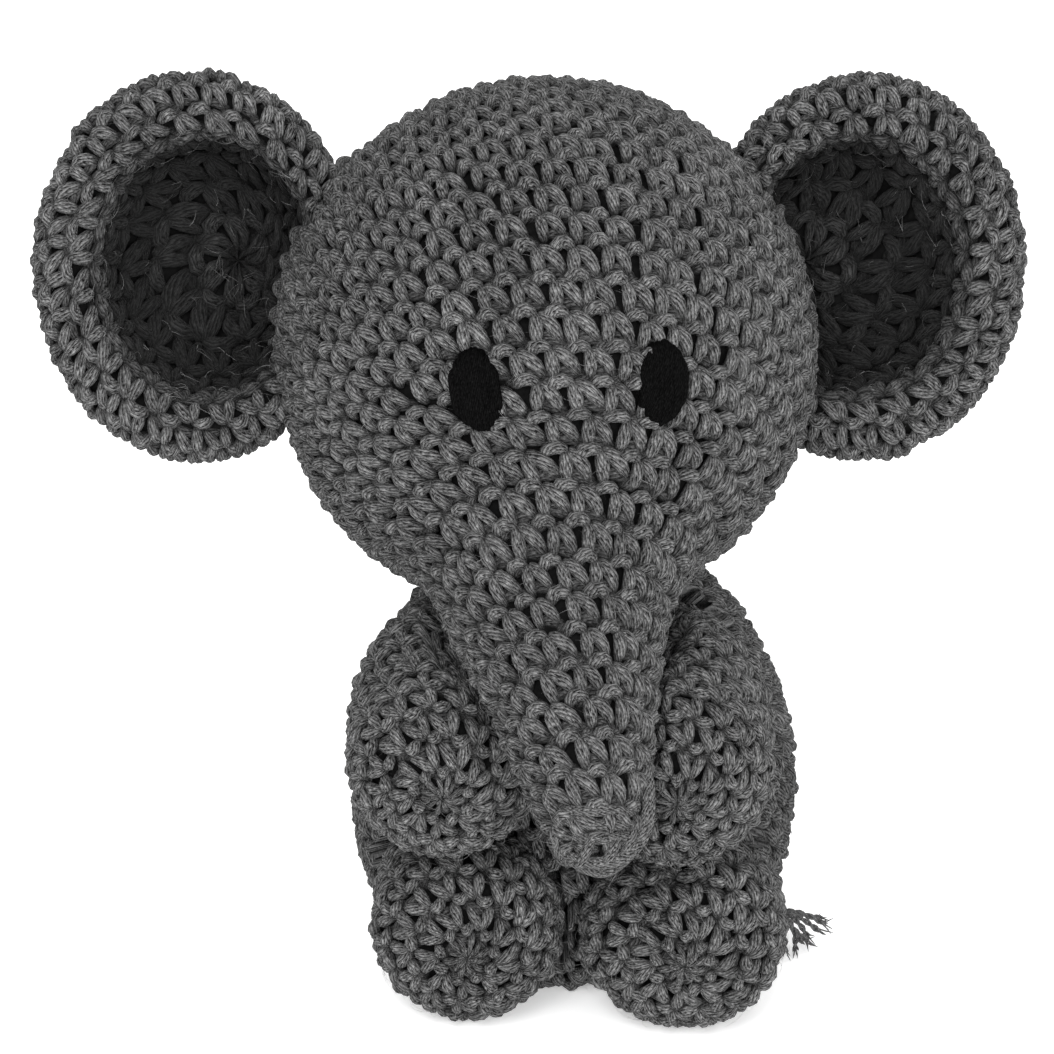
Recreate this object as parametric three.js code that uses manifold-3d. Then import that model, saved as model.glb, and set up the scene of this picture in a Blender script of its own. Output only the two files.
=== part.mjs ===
// A crocheted, stuffed elephant that sits with its arms and legs out in front of it.
// Body, head with trunk, ears, arms and legs are crocheted skins, filled with wadding and sewn together.
// Millimetres, +Z up. The origin is the middle of the flat seat, and the face looks along -Y.
import * as THREE from 'three';
import { mergeVertices } from 'three/addons/utils/BufferGeometryUtils.js';
import Module from 'manifold-3d';

const wasm = await Module();
wasm.setup();

// Fabric and fits
const fabric = 4.4; // thickness of a crocheted skin
const fillGap = 0.4; // between a skin and the wadding in it
const touchGap = 0.4; // between pieces that rest on each other
const seamYarn = 1.8; // thickness of the sewing yarn
const around = 18; // facets round a skin

// Body
const bodyRadius = 38;
const shoulderRise = 13.5; // from the arms' roots to the top of the body
const bodyWidest = 27; // height of the widest ring
const seatRadius = 25;
const neckRadius = 19;
const neckMouth = 8; // radius of the opening under the head
const neckDrop = 4; // from the top of the body to where the head nods

// Head
const headRadius = 45.6;
const headAcross = -4; // of its centre from the seat's
const headForward = 5;
const headSink = 5.4; // how deep it sits in the neck
const headYaw = 5; // degrees, the face turned towards +X
const headRoll = 1.5;
const trunkFall = 40; // degrees, the trunk's slope below level

// Skin radius along the trunk's axis, from the head's centre
const faceEdge = 30; // where the round head runs out into the trunk
const trunkRoot = 52; // where the trunk bends
const trunkOutline = [
  [38, 25.8],
  [45, 21],
  [52, 18.4],
  [60, 16],
  [70, 13.2],
  [80, 10.9],
  [90, 8.4],
];
const trunkLength = 96; // from the head's centre to the tip
const trunkLean = 6; // degrees, the trunk's bend towards +X
const tipFlat = 0.72; // how far the sewn tip is pressed flat
const tipFrom = 76; // where the pressing starts

// Ears: deep oval bowls, open to the front
const earWidth = 55;
const earHeight = 65.5;
const earDepth = 22;
const earWall = 10; // two layers of fabric
const earOut = { left: 12.6, right: 7.4 }; // of the ear's centre from the head's side
const earBack = 1;
const earUp = 14;
const earTilt = 15; // degrees, the opening turned up
const earToe = 8; // degrees, the opening turned in
const earSeamFrom = -20; // degrees round the head, the ends of the seam
const earSeamTo = 50;

// Eyes: ovals of satin stitch
const eyeWidth = 8.2;
const eyeHeight = 12.6;
const eyeRelief = 1.5;
const eyeSide = 19.2; // degrees round the head
const eyeRise = { left: 9.5, right: 11 }; // degrees above the head's centre

// Arms and legs: inner is from the middle to the limb's side, sunk is the root's depth in the body
const arm = { radius: 16.2, root: 12.2, length: 30, swell: 12, cap: 0.86, droop: 3.5 };
const leg = { radius: 16.4, root: 14.5, length: 16, swell: 8, cap: 0.86, droop: 0 };
const armFall = 3; // degrees, an arm's slope below level
const armPlaces = [
  { side: -1, name: 'left', inner: 4.3, sunk: 24 },
  { side: 1, name: 'right', inner: 1.3, sunk: 21 },
];
const legPlaces = [
  { side: -1, name: 'left', inner: 0.3, sunk: 18 },
  { side: 1, name: 'right', inner: 2.9, sunk: 15 },
];

// How far the sewn joints give, in degrees, for the room round them
const armSplay = 35;
const legSplay = 20;
const earSwing = 12;
const nodBack = 14;
const liftRoom = 1; // round the trunk's root, in millimetres, for the trunk to lift
const sweepSteps = 2;

// Tail: a twisted cord with a knot and a tassel
const tailYarn = 4.4;
const tailRoute = [
  [0, 36, 10],
  [1, 40.5, 8.6],
  [5, 43, 5],
  [11, 42.5, 2.8],
  [20, 37.5, 2.4],
  [28.5, 29, 2.4],
  [34, 19, 2.4],
  [35.5, 8, 2.4],
  [35, -2, 2.4],
];
const knotRadius = 3;
const tasselLength = 15;
const tasselSpread = 6;
const tasselTurn = 22; // degrees outwards from straight ahead

const yarnGrey = { color: 0x4d4d4d, roughness: 0.92, metalness: 0 };
const yarnBlack = { color: 0x101010, roughness: 0.85, metalness: 0 };
const wadding = { color: 0xe9e6df, roughness: 0.95, metalness: 0 };

const radians = THREE.MathUtils.degToRad;
const origin = new THREE.Vector3();
const elephant = new THREE.Group();

// Booleans

function solidOf(geometry, matrix = new THREE.Matrix4()) {
  const plain = geometry.clone().applyMatrix4(matrix);
  plain.deleteAttribute('normal');
  plain.deleteAttribute('uv');
  const merged = mergeVertices(plain, 1e-4);
  const corners = [];
  for (let n = 0; n < merged.index.count; n += 3) {
    const [a, b, c] = [0, 1, 2].map((k) => merged.index.getX(n + k));
    if (a !== b && b !== c && c !== a) {
      corners.push(a, b, c);
    }
  }
  const vertProperties = new Float32Array(merged.attributes.position.array);
  return new wasm.Manifold(
    new wasm.Mesh({ numProp: 3, vertProperties, triVerts: new Uint32Array(corners) }),
  );
}

function geometryOf(body) {
  const { vertProperties, triVerts } = body.getMesh();
  const geometry = new THREE.BufferGeometry();
  geometry.setAttribute('position', new THREE.Float32BufferAttribute(vertProperties, 3));
  geometry.setIndex(new THREE.Uint32BufferAttribute(triVerts, 1));
  geometry.computeVertexNormals();
  return geometry;
}

// Outlines, as (radius, height) from one end of the axis to the other

function arc(centre, radius, rise, from, to, steps) {
  const points = [];
  for (let n = 0; n <= steps; n += 1) {
    const turn = radians(from + ((to - from) * n) / steps);
    points.push(new THREE.Vector2(radius * Math.cos(turn), centre + rise * Math.sin(turn)));
  }
  return points;
}

function inset(outline, depth) {
  return outline.map((point, n) => {
    const before = outline[Math.max(n - 1, 0)];
    const after = outline[Math.min(n + 1, outline.length - 1)];
    if (n === 0 || n === outline.length - 1) {
      return new THREE.Vector2(0, point.y + (n === 0 ? depth : -depth));
    }
    const along = after.clone().sub(before).normalize();
    return new THREE.Vector2(Math.max(point.x - along.y * depth, 0.01), point.y + along.x * depth);
  });
}

// Every second point, which is enough for wadding
function coarse(outline) {
  return outline.filter((point, n) => n % 2 === 0 || n === outline.length - 1);
}

function revolve(outline, facets = around) {
  return new THREE.LatheGeometry(outline, facets).rotateX(Math.PI / 2);
}

// A faceted ball that holds the true one
function ball(radius, centre, matrix) {
  const [facets, rows] = [16, 10];
  const reach = radius / (Math.cos(Math.PI / facets) * Math.cos(Math.PI / (2 * rows)));
  const shape = new THREE.SphereGeometry(reach, facets, rows);
  return solidOf(shape.translate(centre.x, centre.y, centre.z), matrix);
}

function bore(radius, from, to) {
  const rod = new THREE.CylinderGeometry(radius, radius, to - from, around);
  return solidOf(rod.rotateX(Math.PI / 2).translate(0, 0, (from + to) / 2));
}

function addMesh(group, name, geometry, look) {
  const mesh = new THREE.Mesh(geometry, new THREE.MeshStandardMaterial(look));
  mesh.name = name;
  group.add(mesh);
  return mesh;
}

function placed(position, ...turns) {
  const group = new THREE.Group();
  group.position.copy(position);
  for (const [axis, degrees] of turns) {
    group.rotateOnAxis(axis, radians(degrees));
  }
  group.updateMatrix();
  return group;
}

const [alongX, alongY, alongZ] = [0, 1, 2].map((k) => new THREE.Vector3().setComponent(k, 1));

// Head and trunk: the head's own axes turn with it, and its fabric axis runs out along the trunk

const armRest = 2 * leg.radius + touchGap + arm.radius; // height of a paw that rests on a leg
const armRise = arm.droop + arm.length * Math.tan(radians(armFall));
const bodyHeight = armRest + armRise + shoulderRise;
const headCentre = new THREE.Vector3(headAcross, -headForward, bodyHeight + headRadius - headSink);
const head = placed(headCentre, [alongZ, headYaw], [alongY, headRoll]);
const muzzle = placed(new THREE.Vector3(), [alongX, 90 + trunkFall]);
const trunk = placed(new THREE.Vector3(0, 0, trunkRoot), [alongY, trunkLean]);
head.add(muzzle);
muzzle.add(trunk);
elephant.add(head);

const faceAngle = THREE.MathUtils.radToDeg(Math.asin(faceEdge / headRadius));
const faceRadius = headRadius * Math.cos(radians(faceAngle));
const taper = new THREE.SplineCurve(
  [[faceEdge, faceRadius], ...trunkOutline].map(([along, radius]) => new THREE.Vector2(radius, along)),
);
const taperPoints = taper.getPoints(12);

function skinRadius(along) {
  const next = Math.max(taperPoints.findIndex((point) => point.y > along), 1);
  const [near, far] = [taperPoints[next - 1], taperPoints[next]];
  return THREE.MathUtils.mapLinear(along, near.y, far.y, near.x, far.x);
}

const rootRadius = skinRadius(trunkRoot);

const headSkin = [
  ...arc(0, headRadius, headRadius, -90, faceAngle, 11),
  ...taperPoints.filter((point) => point.y > faceEdge + 1 && point.y < trunkRoot),
];
headSkin.push(new THREE.Vector2(0, headSkin.at(-1).y));

const endRadius = trunkOutline.at(-1)[1];
const endRise = trunkLength - trunkOutline.at(-1)[0];
const trunkSkin = [
  ...arc(0, rootRadius, rootRadius, -90, 0, 5),
  ...taperPoints
    .filter((point) => point.y > trunkRoot + 1)
    .map((point) => new THREE.Vector2(point.x, point.y - trunkRoot)),
  ...arc(trunkLength - trunkRoot - endRise, endRadius, endRise, 25, 90, 3),
];

function pressTip(geometry) {
  const spot = geometry.attributes.position;
  for (let n = 0; n < spot.count; n += 1) {
    const share = THREE.MathUtils.smoothstep(spot.getZ(n) + trunkRoot, tipFrom, trunkLength);
    spot.setY(n, spot.getY(n) * (1 - share * (1 - tipFlat)));
  }
  return geometry;
}

const trunkPivot = new THREE.Vector3(0, 0, trunkRoot);
const headHollow = solidOf(revolve(inset(headSkin, fabric))).subtract(
  ball(rootRadius + touchGap + fabric, trunkPivot),
);
const headOuter = solidOf(revolve(headSkin)).subtract(ball(rootRadius + touchGap, trunkPivot));
const throat = rootRadius - fabric - 4; // radius of the passage between the head's wadding and the trunk's
const headOpening = bore(throat, trunkRoot - rootRadius - 2 * fabric, trunkRoot);
addMesh(
  muzzle,
  'head_skin',
  geometryOf(headOuter.subtract(headHollow).subtract(headOpening)),
  yarnGrey,
);
const headFill = solidOf(revolve(inset(headSkin, fabric + fillGap))).subtract(
  ball(rootRadius + touchGap + fabric + fillGap, trunkPivot),
);
addMesh(muzzle, 'head_stuffing', geometryOf(headFill), wadding);

const trunkOuter = solidOf(pressTip(revolve(trunkSkin)));
const trunkHollow = solidOf(pressTip(revolve(inset(trunkSkin, fabric))));
const trunkShell = trunkOuter.subtract(trunkHollow).subtract(bore(throat, -rootRadius - 1, 0));
addMesh(trunk, 'trunk_skin', geometryOf(trunkShell), yarnGrey);
addMesh(
  trunk,
  'trunk_stuffing',
  pressTip(revolve(coarse(inset(trunkSkin, fabric + fillGap)))),
  wadding,
);

function yarnAlong(points, thickness, sides, steps) {
  const path = new THREE.CatmullRomCurve3(points.map((point) => new THREE.Vector3(...point)));
  const section = new THREE.Shape();
  for (let n = 0; n < sides; n += 1) {
    const turn = (2 * Math.PI * n) / sides;
    const [across, up] = [(Math.cos(turn) * thickness) / 2, (Math.sin(turn) * thickness) / 2];
    if (n === 0) {
      section.moveTo(across, up);
    } else {
      section.lineTo(across, up);
    }
  }
  return new THREE.ExtrudeGeometry(section, { extrudePath: path, steps, bevelEnabled: false });
}

const tipSeamAt = trunkLength - trunkRoot + touchGap + seamYarn / 2;
const tipReach = endRadius * 0.8; // how far the closing stitches run to each side
addMesh(
  trunk,
  'trunk_tip_seam',
  yarnAlong(
    [
      [-tipReach, 0, tipSeamAt - 0.4],
      [0, 0, tipSeamAt],
      [tipReach, 0, tipSeamAt - 0.4],
    ],
    seamYarn,
    8,
    8,
  ),
  yarnGrey,
);

// Eyes

for (const [side, name, lean] of [
  [-1, 'left', 14],
  [1, 'right', -5],
]) {
  const eye = placed(
    new THREE.Vector3(),
    [alongZ, side * eyeSide],
    [alongX, -eyeRise[name]],
    [alongY, lean * -1],
  );
  const patch = new THREE.CylinderGeometry(1, 1, 12, 16);
  patch.scale(eyeWidth / 2, 1, eyeHeight / 2).translate(0, -headRadius, 0);
  const stitched = solidOf(patch)
    .intersect(ball(headRadius + touchGap + eyeRelief, origin))
    .subtract(ball(headRadius + touchGap, origin));
  addMesh(eye, `eye_${name}`, geometryOf(stitched), yarnBlack);
  head.add(eye);
}

// Ears, cut to the head where they are sewn on, with room to swing

const earOuter = [
  ...arc(0, 1, earDepth, -90, 0, 5),
  ...arc(0, earWall / 2, earWall / 2, 30, 150, 3).map(
    (point) => new THREE.Vector2(1 + (point.x - earWall / 2) / (earWidth / 2), point.y),
  ),
];
const earInner = arc(0, 1 - (2 * earWall) / earWidth, earDepth - earWall, 0, -90, 5);
for (const [side, name] of [
  [-1, 'left'],
  [1, 'right'],
]) {
  const bowl = revolve([...earOuter, ...earInner]);
  bowl.scale(earWidth / 2, earHeight / 2, 1);
  const ear = placed(
    new THREE.Vector3(side * (headRadius + earOut[name]), earBack, earUp),
    [alongZ, -side * earToe],
    [alongX, 90 - earTilt],
  );
  const hinge = new THREE.Vector3(side * (headRadius - 3), earBack, earUp);
  let cut = solidOf(bowl);
  for (const swing of [-earSwing, 0, earSwing]) {
    const turned = new THREE.Matrix4()
      .makeTranslation(hinge)
      .multiply(new THREE.Matrix4().makeRotationZ(radians(swing)))
      .multiply(new THREE.Matrix4().makeTranslation(hinge.clone().negate()));
    const here = ear.matrix.clone().invert().multiply(turned);
    cut = cut.subtract(ball(headRadius + seamYarn + 2 * touchGap, origin, here));
  }
  addMesh(ear, `ear_${name}`, geometryOf(cut), yarnGrey);
  head.add(ear);
  const seamRadius = Math.sqrt((headRadius + touchGap + seamYarn / 2) ** 2 - earBack ** 2);
  const stitches = [];
  for (let turn = earSeamFrom; turn <= earSeamTo; turn += 10) {
    const [across, up] = [Math.cos(radians(turn)), Math.sin(radians(turn))];
    stitches.push([side * seamRadius * across, earBack, seamRadius * up]);
  }
  addMesh(head, `ear_seam_${name}`, yarnAlong(stitches, seamYarn, 6, 8), yarnGrey);
}

// Arms and legs, each a skin with a round root in a pocket of the body, filled and sewn shut

function limbOutline({ radius, root, length, swell, cap }) {
  const middle = new THREE.Vector2((root + radius) / 2 + 0.8, swell / 2);
  return [
    ...arc(0, root, root, -90, 0, 4),
    middle,
    ...arc(length, radius, radius * cap, 0, 90, 5).toSpliced(0, 0, new THREE.Vector2(radius, swell)),
  ];
}

// Bends a limb down from its root to its paw
function droop(geometry, size) {
  const spot = geometry.attributes.position;
  for (let n = 0; n < spot.count; n += 1) {
    const share = THREE.MathUtils.clamp(spot.getZ(n) / size.length, 0, 1);
    spot.setY(n, spot.getY(n) - size.droop * share * (2 - share));
  }
  return geometry;
}

// Cuts a limb back from the head and trunk that press on it, at rest and when it is splayed
function pressed(body, limb, place, splay, margin) {
  let left = body;
  for (const turn of [0, splay / 2, splay]) {
    const back = new THREE.Matrix4().makeRotationZ(radians(-place.side * turn));
    const pivot = new THREE.Matrix4().makeTranslation(limb.position);
    const away = new THREE.Matrix4().makeTranslation(limb.position.clone().negate());
    const here = limb.matrix.clone().invert().multiply(pivot).multiply(back).multiply(away);
    for (const [outline, group] of [
      [headSkin, muzzle],
      [trunkSkin, trunk],
    ]) {
      const grown = revolve(inset(outline, -margin));
      left = left.subtract(solidOf(grown, here.clone().multiply(group.matrixWorld)));
    }
    const lifted = ball(rootRadius + liftRoom + margin, origin, here.multiply(trunk.matrixWorld));
    left = left.subtract(lifted);
  }
  return left;
}

function addLimb({ kind, size, place, at, fall, splay }) {
  const limb = placed(at, [alongX, 90 + fall]);
  const outline = limbOutline(size);
  const mouth = size.root - fabric;
  const outer = pressed(solidOf(droop(revolve(outline), size)), limb, place, splay, touchGap);
  const filling = droop(revolve(coarse(inset(outline, fabric + fillGap))), size);
  const hollow = solidOf(droop(revolve(inset(outline, fabric)), size));
  const skin = outer
    .subtract(pressed(hollow, limb, place, splay, touchGap + fabric))
    .subtract(bore(mouth, -size.root - 1, 0));
  addMesh(limb, `${kind}_${place.name}`, geometryOf(skin), yarnGrey);
  const room = touchGap + fabric + fillGap;
  const wad = pressed(solidOf(filling), limb, place, splay, room);
  addMesh(limb, `${kind}_stuffing_${place.name}`, geometryOf(wad), wadding);
  const ring = new THREE.TorusGeometry(mouth - fillGap - seamYarn / 2, seamYarn / 2, 5, 16);
  const ringEdge = mouth - fillGap;
  ring.translate(0, 0, seamYarn / 2 - Math.sqrt(size.root ** 2 - ringEdge ** 2));
  addMesh(limb, `${kind}_seam_${place.name}`, ring, yarnGrey);
  elephant.add(limb);
}

// The room that a limb sweeps as it splays, grown by a margin
function limbRoom({ size, place, at, fall, splay }, margin) {
  const facets = 12;
  const outline = [
    new THREE.Vector2(0, 0),
    new THREE.Vector2(size.root + margin, 0),
    ...inset(limbOutline(size), -margin).filter((point) => point.y > 1),
  ];
  const reach = 1 / Math.cos(Math.PI / facets);
  const stem = revolve(outline, facets).scale(reach, reach, 1);
  const bent = droop(stem, size);
  let room = ball(size.root + margin, at);
  for (let n = 0; n <= sweepSteps; n += 1) {
    const turn = (place.side * splay * n) / sweepSteps;
    const here = placed(at, [alongZ, turn], [alongX, 90 + fall]);
    room = room.add(solidOf(bent, here.matrix));
  }
  return room;
}

// A limb's root, beside the middle and sunk into the body
function rootAt(place, size, height) {
  return new THREE.Vector3(place.side * (place.inner + size.radius), place.sunk - bodyRadius, height);
}

const limbs = [];
for (const place of legPlaces) {
  const at = rootAt(place, leg, leg.radius);
  limbs.push({ kind: 'leg', size: leg, place, at, fall: 0, splay: legSplay });
}
for (const place of armPlaces) {
  const at = rootAt(place, arm, armRest + armRise);
  limbs.push({ kind: 'arm', size: arm, place, at, fall: armFall, splay: armSplay });
}
head.updateMatrixWorld(true);
for (const limb of limbs) {
  addLimb(limb);
}

// Body, with pockets for the limbs and a dish for the head

const upperShare = Math.sqrt(1 - (neckRadius / bodyRadius) ** 2);
const bodyOutline = [
  new THREE.Vector2(0, 0),
  ...arc(bodyWidest, bodyRadius - seatRadius, bodyWidest, -90, 0, 5).map(
    (point) => new THREE.Vector2(point.x + seatRadius, point.y),
  ),
];
const upperSteps = 6;
for (let n = 1; n <= upperSteps; n += 1) {
  const share = Math.sin((Math.asin(upperShare) * n) / upperSteps) / upperShare;
  const radius = bodyRadius * Math.sqrt(1 - (upperShare * share) ** 2);
  bodyOutline.push(new THREE.Vector2(radius, bodyWidest + (bodyHeight - bodyWidest) * share));
}
bodyOutline.push(new THREE.Vector2(0, bodyHeight));

const neckPivot = new THREE.Vector3(headCentre.x, headCentre.y, bodyHeight - neckDrop);
const noddedCentre = headCentre
  .clone()
  .sub(neckPivot)
  .applyAxisAngle(alongX, radians(-nodBack))
  .add(neckPivot);

function bodySolid(depth) {
  let solid = solidOf(revolve(depth ? inset(bodyOutline, depth) : bodyOutline, 24));
  for (const centre of [headCentre, noddedCentre]) {
    solid = solid.subtract(ball(headRadius + touchGap + depth, centre));
  }
  const chin = revolve(inset(headSkin, -touchGap - depth));
  solid = solid.subtract(solidOf(chin, muzzle.matrixWorld));
  for (const limb of limbs) {
    solid = solid.subtract(limbRoom(limb, touchGap + depth));
  }
  return solid;
}

const neckOpening = new THREE.CylinderGeometry(neckMouth, neckMouth, 8 * fabric, around);
neckOpening.rotateX(Math.PI / 2).translate(headCentre.x, headCentre.y, bodyHeight - 2 * fabric);
addMesh(
  elephant,
  'body_skin',
  geometryOf(bodySolid(0).subtract(bodySolid(fabric)).subtract(solidOf(neckOpening))),
  yarnGrey,
);
addMesh(elephant, 'body_stuffing', geometryOf(bodySolid(fabric + fillGap)), wadding);

// The sewing yarn round the neck, low enough for the head to nod back over it
const neckRing = neckMouth - touchGap - seamYarn / 2;
const ringReach = headRadius + touchGap + seamYarn / 2;
const ringBack = neckPivot.y + neckRing - noddedCentre.y;
const neckSeam = new THREE.TorusGeometry(neckRing, seamYarn / 2, 5, 16);
const ringHeight = noddedCentre.z - Math.sqrt(ringReach ** 2 - ringBack ** 2) - 0.3;
neckSeam.translate(neckPivot.x, neckPivot.y, ringHeight);
addMesh(elephant, 'neck_seam', neckSeam, yarnGrey);

// Tail: the cord lies round the body to the right leg, and ends in a knot and a frayed tassel

addMesh(elephant, 'tail_cord', yarnAlong(tailRoute, tailYarn, 8, 34), yarnGrey);
const tailEnd = new THREE.Vector3(...tailRoute.at(-1));
const tailRun = tailEnd.clone().sub(new THREE.Vector3(...tailRoute.at(-2))).normalize();
const knotAt = tailEnd.clone().addScaledVector(tailRun, knotRadius + touchGap).setZ(knotRadius + 0.05);
const knot = placed(knotAt);
addMesh(knot, 'tail_knot', new THREE.SphereGeometry(knotRadius, 12, 8), yarnGrey);
elephant.add(knot);
const fan = new THREE.CylinderGeometry(tasselSpread, 2, tasselLength, 14);
fan.scale(1, 1, 0.3).translate(0, tasselLength / 2 + knotRadius + touchGap, 0);
const tassel = placed(knotAt.clone().setZ(tasselSpread * 0.3 + 0.1), [alongZ, 180 + tasselTurn]);
addMesh(tassel, 'tail_tassel', fan, yarnGrey);
elephant.add(tassel);

export default elephant;
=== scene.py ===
import math

import bpy
import numpy as np
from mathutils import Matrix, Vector


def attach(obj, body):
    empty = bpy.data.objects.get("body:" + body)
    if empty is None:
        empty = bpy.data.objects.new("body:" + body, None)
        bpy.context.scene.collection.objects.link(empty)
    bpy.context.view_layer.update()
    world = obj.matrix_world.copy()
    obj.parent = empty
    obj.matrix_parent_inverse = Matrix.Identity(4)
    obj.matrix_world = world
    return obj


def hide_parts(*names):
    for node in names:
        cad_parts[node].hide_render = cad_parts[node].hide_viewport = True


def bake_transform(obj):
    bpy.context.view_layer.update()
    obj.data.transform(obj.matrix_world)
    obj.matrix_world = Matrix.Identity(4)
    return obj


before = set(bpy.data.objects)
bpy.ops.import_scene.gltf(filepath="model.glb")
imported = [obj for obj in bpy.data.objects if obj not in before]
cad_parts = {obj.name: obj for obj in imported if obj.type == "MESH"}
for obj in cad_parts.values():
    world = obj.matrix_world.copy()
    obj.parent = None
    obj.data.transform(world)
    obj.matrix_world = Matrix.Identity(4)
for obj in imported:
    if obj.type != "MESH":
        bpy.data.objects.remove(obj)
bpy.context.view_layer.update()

mm = 0.001
floorGap = 0.00003  # lowest point of any stitch, in metres
rng = np.random.default_rng(41)


# Camera and light

view = {
    "stand": (-1.0, -803.5, 374.6),
    "aim": (-7.1, -7.3, 77.1),
    "lens": 171.3,
    "sensor": 36.0,
}


def addCamera():
    lensData = bpy.data.cameras.new("camera")
    lensData.lens = view["lens"]
    lensData.sensor_width = view["sensor"]
    lensData.clip_start, lensData.clip_end = 0.01, 20
    camera = bpy.data.objects.new("camera", lensData)
    bpy.context.scene.collection.objects.link(camera)
    camera.location = Vector(view["stand"]) * mm
    away = (Vector(view["aim"]) - Vector(view["stand"])) * mm
    camera.rotation_euler = away.to_track_quat("-Z", "Y").to_euler()
    bpy.context.scene.camera = camera


studio = {
    "floorSize": 6.0,
    "sky": 0.8,
    "floorGlow": 0.38,
    "lamps": [  # name, place and aim in metres, side of the square, watts
        ("key", (-0.25, -1.15, 0.95), (0, 0, 0.06), 0.7, 17.0),
        ("fill", (0.5, -1.15, 0.3), (0, 0, 0.05), 0.9, 12.0),
        ("back", (0.1, 0.9, 1.2), (0, 0, 0.08), 1.0, 9.0),
    ],
}


def addStudio():
    for name, place, aim, side, watts in studio["lamps"]:
        lamp = bpy.data.lights.new(name, "AREA")
        lamp.shape, lamp.size, lamp.energy = "SQUARE", side, watts
        holder = bpy.data.objects.new(name, lamp)
        bpy.context.scene.collection.objects.link(holder)
        holder.location = place
        away = Vector(aim) - Vector(place)
        holder.rotation_euler = away.to_track_quat("-Z", "Y").to_euler()
    world = bpy.data.worlds.new("sky")
    world.use_nodes = True
    world.node_tree.nodes["Background"].inputs["Color"].default_value = (1, 1, 1, 1)
    world.node_tree.nodes["Background"].inputs["Strength"].default_value = studio["sky"]
    bpy.context.scene.world = world
    bpy.context.scene.view_settings.view_transform = "Standard"


addCamera()
print("camera ready")


# Materials

class Look:  # a socket of a material, with sums written as sums
    def __init__(self, tree, socket=None):
        self.tree, self.socket = tree, socket

    def node(self, kind, settings=None, inputs=None, output=0):
        made = self.tree.nodes.new(kind)
        for name, value in (settings or {}).items():
            setattr(made, name, value)
        for name, value in (inputs or {}).items():
            if isinstance(value, Look):
                self.tree.links.new(value.socket, made.inputs[name])
            else:
                made.inputs[name].default_value = value
        return Look(self.tree, made.outputs[output] if made.outputs else None)

    def sum(self, operation, first, second=0.0):
        return self.node("ShaderNodeMath", {"operation": operation}, {0: first, 1: second})

    def __add__(self, other):
        return self.sum("ADD", self, other)

    def __sub__(self, other):
        return self.sum("SUBTRACT", self, other)

    def __mul__(self, other):
        return self.sum("MULTIPLY", self, other)

    def __pow__(self, other):
        return self.sum("POWER", self, other)

    def sine(self):
        return self.sum("SINE", self)


yarnLook = {
    "plies": 11,  # lines round a strand
    "twist": -0.45,  # turns along a strand
    "stretch": (20.0, 3.2),  # how fast the lines wander, round and along
    "wander": 11.0,
    "hairs": 2600.0,  # grain of the fine noise
    "patches": 70.0,  # grain of the slow one
    "soften": 0.8,
    "shares": {"lines": 0.62, "hairs": 1.5, "wander": 1.1, "patches": 0.3, "less": 1.34},
    "brightest": 3.0,
    "groove": 0.00026,
    "fibre": 0.0001,
    "roughSpread": 0.16,
    "sheenRoughness": 0.3,
}


def yarnMaterial(name, dark, light, sheen, rough=0.9, gloss=0.1):
    material = bpy.data.materials.new(name)
    material.use_nodes = True
    tree = material.node_tree
    tree.nodes.clear()
    start = Look(tree)
    place = start.node("ShaderNodeUVMap", {"uv_map": "strand"})
    across = start.node("ShaderNodeSeparateXYZ", inputs={0: place})
    along = Look(tree, across.socket.node.outputs[1])
    fast, slow = yarnLook["stretch"]
    stretched = start.node(
        "ShaderNodeCombineXYZ", inputs={0: across * fast, 1: along * slow, 2: 0.0}
    )
    wander = start.node(
        "ShaderNodeTexNoise", {"noise_dimensions": "2D"},
        {"Vector": stretched, "Scale": 1.0, "Detail": 2.0, "Roughness": 0.6},
    )
    turn = across + along * yarnLook["twist"]
    wave = (turn * (2 * math.pi * yarnLook["plies"]) + (wander - 0.5) * yarnLook["wander"]).sine()
    lines = wave * 0.5 + 0.5
    solid = start.node("ShaderNodeTexCoord", output=3)
    hairs = start.node(
        "ShaderNodeTexNoise", {},
        {"Vector": solid, "Scale": yarnLook["hairs"], "Detail": 3.0, "Roughness": 0.65},
    )
    patches = start.node(
        "ShaderNodeTexNoise", {}, {"Vector": solid, "Scale": yarnLook["patches"], "Detail": 2.0}
    )
    # shade: random tone for each stitch, with painted shade in the creases and ear hollows and
    # painted light on the limbs
    shade = start.node("ShaderNodeAttribute", {"attribute_name": "shade"}, output=2)
    share = yarnLook["shares"]
    tone = (lines ** yarnLook["soften"]) * share["lines"] + hairs * share["hairs"]
    tone = tone + wander * share["wander"] + patches * share["patches"] - share["less"]
    tone = start.node("ShaderNodeClamp", inputs={"Value": tone * shade, "Max": yarnLook["brightest"]})
    colour = start.node(
        "ShaderNodeMix", {"data_type": "RGBA", "clamp_factor": False},
        {0: tone, 6: (*dark, 1), 7: (*light, 1)}, output=2,
    )
    height = lines * yarnLook["groove"] + hairs * yarnLook["fibre"]
    bump = start.node(
        "ShaderNodeBump", inputs={"Strength": 1.0, "Distance": 1.0, "Height": height}
    )
    roughness = hairs * yarnLook["roughSpread"] + (rough - yarnLook["roughSpread"] / 2)
    shader = start.node(
        "ShaderNodeBsdfPrincipled",
        inputs={
            "Base Color": colour,
            "Roughness": roughness,
            "Normal": bump,
            "Sheen Weight": sheen,
            "Sheen Roughness": yarnLook["sheenRoughness"],
            "Specular IOR Level": gloss,
        },
    )
    start.node("ShaderNodeOutputMaterial", inputs={"Surface": shader})
    return material


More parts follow.
